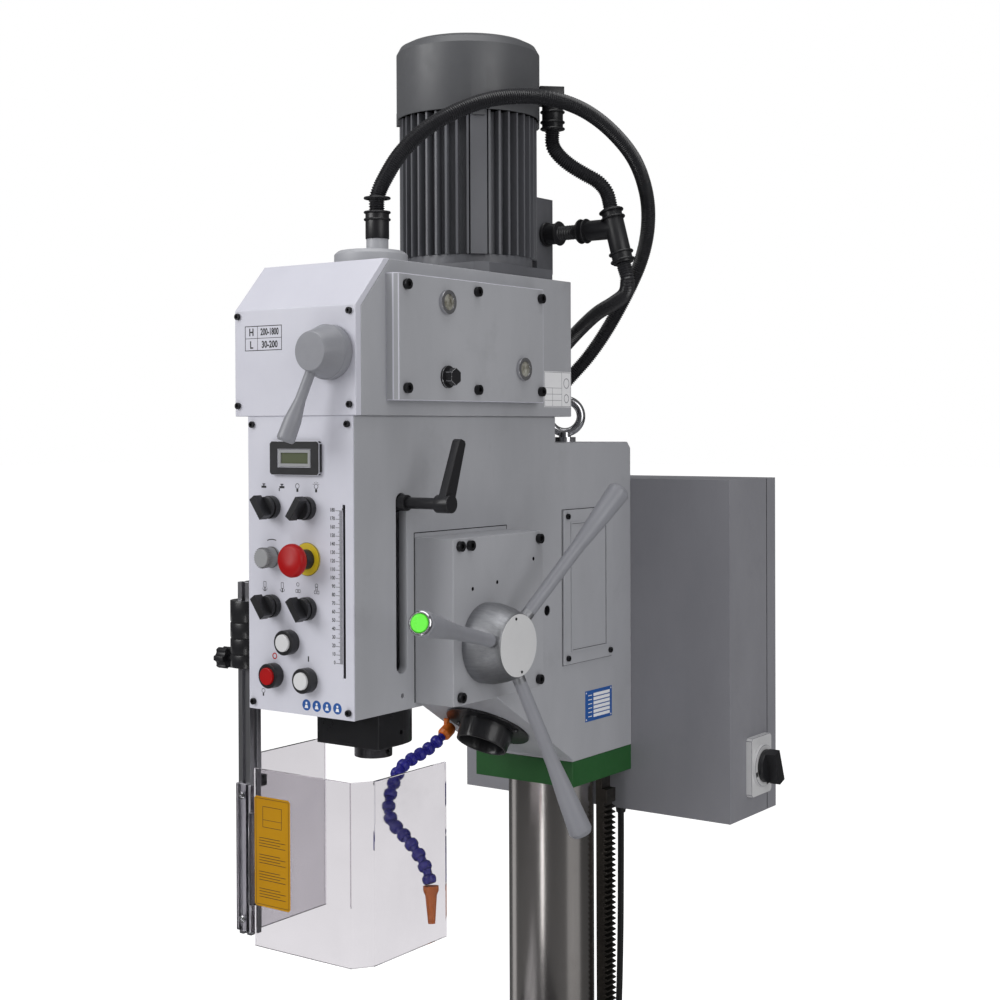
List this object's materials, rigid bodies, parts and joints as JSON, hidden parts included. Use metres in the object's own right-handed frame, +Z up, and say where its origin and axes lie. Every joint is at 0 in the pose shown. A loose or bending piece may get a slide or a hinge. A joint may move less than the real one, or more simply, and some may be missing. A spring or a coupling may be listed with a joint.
{
  "type": "drill press",
  "caption": "Geared-head column drill press with a panel, feed levers, swinging table, coolant hose, clear guard and cabinet.",
  "frame": {"origin": "on the floor under the column's axis, at the base plate's underside", "axes": "+Z up along the column, -Y towards the operator and the spindle, +X to the operator's right"},
  "size_m": [0.516, 1.072, 2.1265],
  "materials": {
    "head_paint": "satin grey structured paint",
    "plate_paint": "smooth pale grey paint",
    "cabinet_paint": "fine textured grey powder coat",
    "green_paint": "satin dark green paint",
    "motor_paint": "satin dark grey paint",
    "lever_paint": "satin light grey paint",
    "cast_iron": "machined grey iron",
    "steel": "ground steel",
    "dark_steel": "black oxide steel",
    "aluminium": "brushed aluminium",
    "black_plastic": "moulded black plastic",
    "red_plastic": "glossy red plastic",
    "white_plastic": "glossy white plastic",
    "green_plastic": "lit green plastic",
    "grey_plastic": "moulded grey plastic",
    "clear_plastic": "clear polycarbonate",
    "blue_plastic": "glossy blue plastic",
    "black_rubber": "black rubber"
  },
  "bodies": {
    "machine_frame": {"base_plate": "head_paint", "column_foot": "head_paint", "column": "steel", "head_casting": "head_paint", "column_collar": "green_paint", "gearbox_housing": "head_paint", "gearbox_covers": "plate_paint", "cover_screws": "dark_steel", "oil_fittings": "steel", "small_covers": "lever_paint", "motor_body": "motor_paint", "fan_cowl": "motor_paint", "bearings": "steel", "control_panel": "plate_paint", "switch_bezels": "black_plastic", "feed_box": "head_paint", "work_lamp": "black_plastic", "cabinet_body": "cabinet_paint", "guard_sleeve": "black_plastic", "conduit_fittings": "black_plastic", "conduits": "black_plastic", "eye_bolt": "steel", "mains_cable": "black_rubber", "cable_coil": "black_rubber", "mains_plug": "grey_plastic"},
    "quill_unit": {"quill": "steel", "quill_clamp": "dark_steel"},
    "column_rack": {"column_rack": "steel"},
    "table_arm": {"table_arm": "head_paint"},
    "lift_pinion": {"lift_pinion": "steel"},
    "lift_crank": {"lift_crank": "dark_steel"},
    "arm_clamp_lever": {"arm_clamp_lever": "black_plastic"},
    "work_table": {"work_table": "cast_iron"},
    "spindle": {"spindle": "steel"},
    "drive_sleeve": {"drive_sleeve": "steel"},
    "counter_shaft": {"counter_shaft": "steel"},
    "sliding_gears": {"sliding_gears": "steel"},
    "motor_rotor": {"motor_rotor": "steel"},
    "selector_lever": {"selector_lever": "lever_paint"},
    "coolant_switch": {"coolant_switch": "black_plastic"},
    "light_switch": {"light_switch": "black_plastic"},
    "mode_switch": {"mode_switch": "black_plastic"},
    "range_switch": {"range_switch": "black_plastic"},
    "speed_knob": {"speed_knob": "grey_plastic"},
    "stop_button": {"stop_button": "red_plastic"},
    "start_button": {"start_button": "white_plastic"},
    "off_button": {"off_button": "red_plastic"},
    "return_button": {"return_button": "white_plastic"},
    "feed_hub": {"feed_hub": "aluminium"},
    "clutch_button": {"clutch_button": "green_plastic"},
    "depth_stop": {"depth_stop": "dark_steel"},
    "depth_clamp_lever": {"depth_clamp_lever": "black_plastic"},
    "cabinet_door": {"cabinet_door": "cabinet_paint"},
    "main_switch_knob": {"main_switch_knob": "black_plastic"},
    "guard_knob": {"guard_knob": "black_plastic"},
    "guard_rail": {"guard_rail": "aluminium"},
    "guard_shield": {"guard_shield": "clear_plastic"},
    "hose_upper": {"hose_upper": "blue_plastic"},
    "hose_lower": {"hose_lower": "blue_plastic"}
  },
  "joints": [
    {"name": "table_swing", "type": "hinge", "parent": "machine_frame", "child": "column_rack", "pos_m": [0, 0, 0.6], "axis": [0, 0, 1], "range_deg": [-90, 20]},
    {"name": "table_lift", "type": "slide", "parent": "column_rack", "child": "table_arm", "axis": [0, 0, 1], "range_m": [-0.305, 0.235]},
    {"name": "table_turn", "type": "hinge", "parent": "table_arm", "child": "work_table", "pos_m": [0, -0.405, 0.64], "axis": [0, 0, 1], "continuous": true},
    {"name": "lift_pinion_turn", "type": "hinge", "parent": "table_arm", "child": "lift_pinion", "pos_m": [0.0926, 0, 0.52], "axis": [0, 1, 0], "range_deg": [-770, 999]},
    {"name": "lift_crank_turn", "type": "hinge", "parent": "table_arm", "child": "lift_crank", "pos_m": [0.1, 0.001, 0.52], "axis": [1, 0, 0], "range_deg": [-999, 770]},
    {"name": "arm_clamp_turn", "type": "hinge", "parent": "table_arm", "child": "arm_clamp_lever", "pos_m": [-0.1145, 0, 0.535], "axis": [0, 1, 0], "range_deg": [-60, 60]},
    {"name": "quill_slide", "type": "slide", "parent": "machine_frame", "child": "quill_unit", "axis": [0, 0, 1], "range_m": [-0.18, 0], "stiffness_N_per_m": 500, "springref_m": 0.3},
    {"name": "spindle_spin", "type": "hinge", "parent": "quill_unit", "child": "spindle", "pos_m": [0, -0.405, 1.33], "axis": [0, 0, 1], "continuous": true},
    {"name": "sleeve_spin", "type": "hinge", "parent": "machine_frame", "child": "drive_sleeve", "pos_m": [0, -0.405, 1.73], "axis": [0, 0, 1], "continuous": true},
    {"name": "counter_spin", "type": "hinge", "parent": "machine_frame", "child": "counter_shaft", "pos_m": [0, -0.31, 1.73], "axis": [0, 0, 1], "continuous": true},
    {"name": "gear_slide", "type": "slide", "parent": "counter_shaft", "child": "sliding_gears", "axis": [0, 0, 1], "range_m": [0, 0.0321]},
    {"name": "motor_spin", "type": "hinge", "parent": "machine_frame", "child": "motor_rotor", "pos_m": [0, -0.198, 1.93], "axis": [0, 0, 1], "continuous": true},
    {"name": "range_lever_turn", "type": "hinge", "parent": "machine_frame", "child": "selector_lever", "pos_m": [0.0544, -0.542, 1.6965], "axis": [0, 1, 0], "range_deg": [0, 64.4]},
    {"name": "coolant_switch_turn", "type": "hinge", "parent": "machine_frame", "child": "coolant_switch", "pos_m": [-0.0445, -0.54, 1.5118], "axis": [0, 1, 0], "range_deg": [0, 70]},
    {"name": "light_switch_turn", "type": "hinge", "parent": "machine_frame", "child": "light_switch", "pos_m": [0.013, -0.54, 1.5118], "axis": [0, 1, 0], "range_deg": [-70, 0]},
    {"name": "mode_switch_turn", "type": "hinge", "parent": "machine_frame", "child": "mode_switch", "pos_m": [-0.0445, -0.54, 1.392], "axis": [0, 1, 0], "range_deg": [0, 70]},
    {"name": "range_switch_turn", "type": "hinge", "parent": "machine_frame", "child": "range_switch", "pos_m": [0.013, -0.54, 1.392], "axis": [0, 1, 0], "range_deg": [0, 70]},
    {"name": "speed_knob_turn", "type": "hinge", "parent": "machine_frame", "child": "speed_knob", "pos_m": [-0.045, -0.54, 1.451], "axis": [0, 1, 0], "range_deg": [0, 270]},
    {"name": "stop_button_press", "type": "slide", "parent": "machine_frame", "child": "stop_button", "axis": [0, 1, 0], "range_m": [0, 0.004]},
    {"name": "start_button_press", "type": "slide", "parent": "machine_frame", "child": "start_button", "axis": [0, 1, 0], "range_m": [0, 0.003], "stiffness_N_per_m": 800, "springref_m": -0.002},
    {"name": "off_button_press", "type": "slide", "parent": "machine_frame", "child": "off_button", "axis": [0, 1, 0], "range_m": [0, 0.003], "stiffness_N_per_m": 800, "springref_m": -0.002},
    {"name": "return_button_press", "type": "slide", "parent": "machine_frame", "child": "return_button", "axis": [0, 1, 0], "range_m": [0, 0.003], "stiffness_N_per_m": 800, "springref_m": -0.002},
    {"name": "feed_hub_turn", "type": "hinge", "parent": "machine_frame", "child": "feed_hub", "pos_m": [0.1435, -0.359, 1.341], "axis": [1, 0, 0], "range_deg": [0, 589.5]},
    {"name": "clutch_button_press", "type": "slide", "parent": "feed_hub", "child": "clutch_button", "axis": [-0.2419, 0.9473, -0.21], "range_m": [0, 0.0025], "stiffness_N_per_m": 800, "springref_m": -0.002},
    {"name": "depth_stop_slide", "type": "slide", "parent": "machine_frame", "child": "depth_stop", "axis": [0, 0, 1], "range_m": [-0.197, 0.0015]},
    {"name": "depth_clamp_turn", "type": "hinge", "parent": "depth_stop", "child": "depth_clamp_lever", "pos_m": [0.1, -0.451, 1.5165], "axis": [1, 0, 0], "range_deg": [-11, 45]},
    {"name": "cabinet_door_swing", "type": "hinge", "parent": "machine_frame", "child": "cabinet_door", "pos_m": [-0.225, 0.205, 1.33], "axis": [0, 0, 1], "range_deg": [0, 120]},
    {"name": "main_switch_turn", "type": "hinge", "parent": "machine_frame", "child": "main_switch_knob", "pos_m": [0.248, 0.17, 1.112], "axis": [1, 0, 0], "range_deg": [-90, 0]},
    {"name": "guard_slide", "type": "slide", "parent": "machine_frame", "child": "guard_rail", "axis": [0, 0, 1], "range_m": [-0.02, 0.045]},
    {"name": "guard_shield_swing", "type": "hinge", "parent": "guard_rail", "child": "guard_shield", "pos_m": [-0.1035, -0.517, 1.08], "axis": [0, 0, 1], "range_deg": [-110, 0]},
    {"name": "guard_knob_turn", "type": "hinge", "parent": "machine_frame", "child": "guard_knob", "pos_m": [-0.15, -0.505, 1.316], "axis": [1, 0, 0], "range_deg": [0, 360]},
    {"name": "hose_swing", "type": "hinge", "parent": "machine_frame", "child": "hose_upper", "pos_m": [-0.063, -0.17, 1.182], "axis": [0, 0, 1], "range_deg": [-2, 8]},
    {"name": "hose_bend", "type": "hinge", "parent": "hose_upper", "child": "hose_lower", "pos_m": [-0.058, -0.3, 1.124], "axis": [1, 0, 0], "range_deg": [-4, 2]}
  ],
  "couplings": [
    {"joint": "lift_pinion_turn", "follows": "table_lift", "rad_per_m": -57.143},
    {"joint": "lift_crank_turn", "follows": "table_lift", "rad_per_m": 57.143},
    {"joint": "feed_hub_turn", "follows": "quill_slide", "rad_per_m": -57.143},
    {"joint": "sleeve_spin", "follows": "spindle_spin", "ratio": 1},
    {"joint": "counter_spin", "follows": "spindle_spin", "ratio": -3},
    {"joint": "motor_spin", "follows": "spindle_spin", "ratio": 5.4},
    {"joint": "gear_slide", "follows": "range_lever_turn", "m_per_rad": 0.02847}
  ]
}
